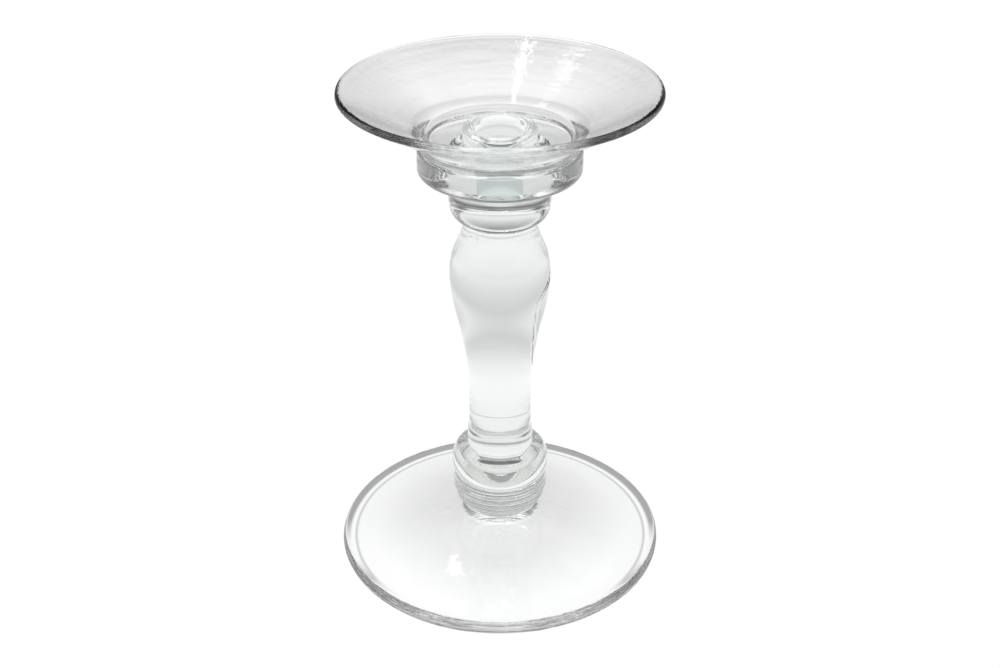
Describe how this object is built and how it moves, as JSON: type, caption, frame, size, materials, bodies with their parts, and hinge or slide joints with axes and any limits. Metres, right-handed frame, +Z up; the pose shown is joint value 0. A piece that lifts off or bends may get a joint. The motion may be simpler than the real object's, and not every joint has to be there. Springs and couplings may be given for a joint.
{
  "type": "glass candlestick",
  "caption": "Clear glass candlestick with a spread foot, knopped baluster stem and a flared drip dish round a taper candle socket.",
  "frame": {"origin": "centre of the flat ring the foot rests on, at table level", "axes": "+Z up the stem, out of the candle socket; X and Y are equivalent, because every piece is round"},
  "size_m": [0.1642, 0.1642, 0.25],
  "materials": {
    "clear_glass": "fire-polished"
  },
  "bodies": {
    "root": {"foot": "clear_glass", "ringed_knop": "clear_glass", "annular_knop": "clear_glass", "lower_merese": "clear_glass", "stem": "clear_glass", "neck_merese": "clear_glass", "socket_knop": "clear_glass", "collar": "clear_glass", "drip_dish": "clear_glass", "socket_lip": "clear_glass"}
  },
  "joints": []
}
